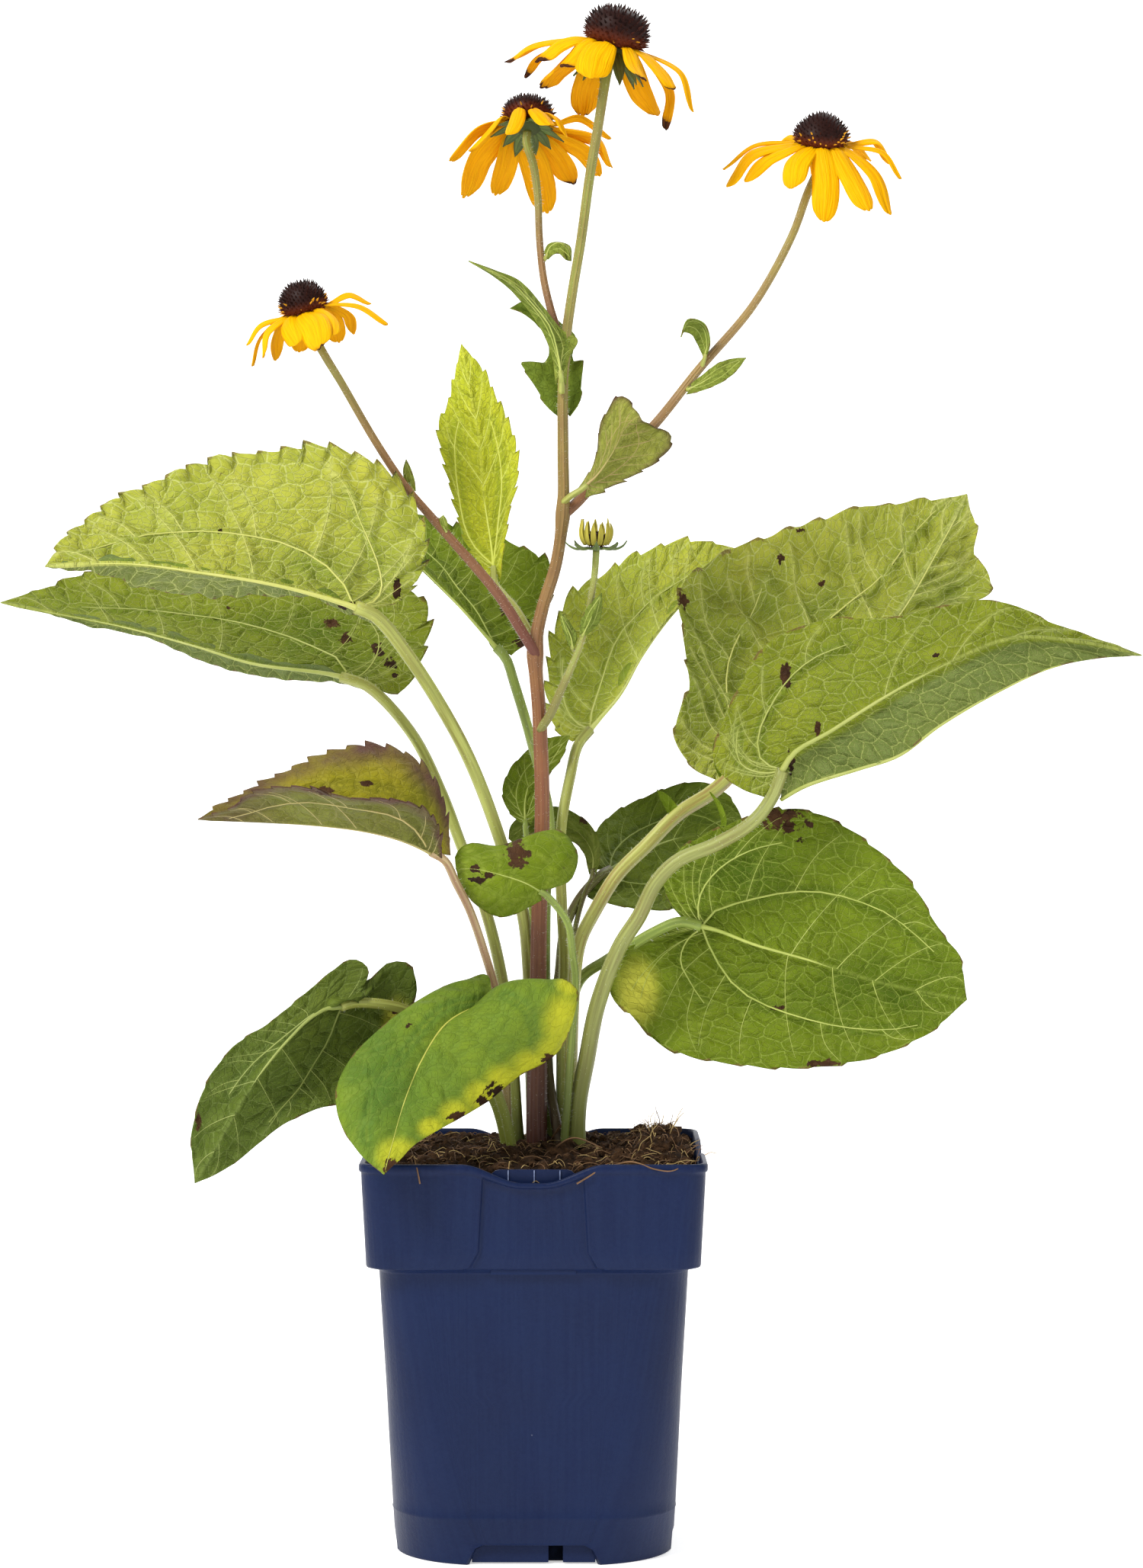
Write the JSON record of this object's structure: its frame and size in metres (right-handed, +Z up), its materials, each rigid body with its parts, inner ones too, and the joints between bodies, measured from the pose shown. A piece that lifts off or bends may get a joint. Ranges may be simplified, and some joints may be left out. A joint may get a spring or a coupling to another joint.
{
  "type": "potted goldsturm black-eyed susan",
  "caption": "Flowering garden perennial in a square nursery pot: tall branched stem with yellow ray flowers, dark cones, an opening bud and a rosette of long-stalked leaves.",
  "frame": {"origin": "middle of the pot's base, on the surface that it stands on", "axes": "+Z up the stem; +X to the right and +Y away as seen from the front, the side that the yellowing leaf hangs over"},
  "size_m": [0.4042, 0.1716, 0.5525],
  "materials": {
    "pot": "satin moulded dark blue polypropylene",
    "soil": "dark fibrous peat",
    "stem": "ridged red-brown stem with short hairs",
    "shoot": "olive green shoot flushed with brown",
    "leaf": "matt green leaf with a pale net of veins",
    "yellowing_leaf": "leaf turning yellow with brown edges",
    "ray": "golden yellow ray with fine lengthwise folds",
    "cone": "dark purple-brown cone of small florets",
    "bract": "dark green hairy bract"
  },
  "bodies": {
    "root": {"pot": "pot", "soil": "soil", "main_stem": "stem", "second_flower_stalk": "shoot", "right_branch": "shoot", "left_branch": "shoot", "bud_shoot": "shoot", "upper_left_leaf": "leaf", "lower_left_leaf": "leaf", "curled_leaf": "leaf", "heart_leaf": "leaf", "young_leaf": "leaf", "torn_leaf": "leaf", "inner_right_leaf": "leaf", "back_left_leaf": "leaf", "upper_right_leaf": "leaf", "lower_right_leaf": "leaf", "round_leaf": "leaf", "back_right_leaf": "leaf", "yellowing_leaf": "yellowing_leaf", "front_left_leaf": "leaf", "tall_leaf": "leaf", "right_node_leaf": "leaf", "spoon_leaf": "leaf", "collar_leaf": "leaf", "stalk_hook_leaf": "leaf", "branch_hook_leaf": "leaf", "branch_side_leaf": "leaf", "branch_sprout_leaf": "leaf", "node_sprout_leaf": "leaf", "bud_right_leaf": "leaf", "bud_left_leaf": "leaf", "top_flower_cone": "cone", "top_flower_rays": "ray", "top_flower_bracts": "bract", "second_flower_cone": "cone", "second_flower_rays": "ray", "second_flower_bracts": "bract", "right_flower_cone": "cone", "right_flower_rays": "ray", "right_flower_bracts": "bract", "left_flower_cone": "cone", "left_flower_rays": "ray", "left_flower_bracts": "bract", "bud_disc": "cone", "bud_rays": "ray", "bud_sepals": "bract"}
  },
  "joints": []
}
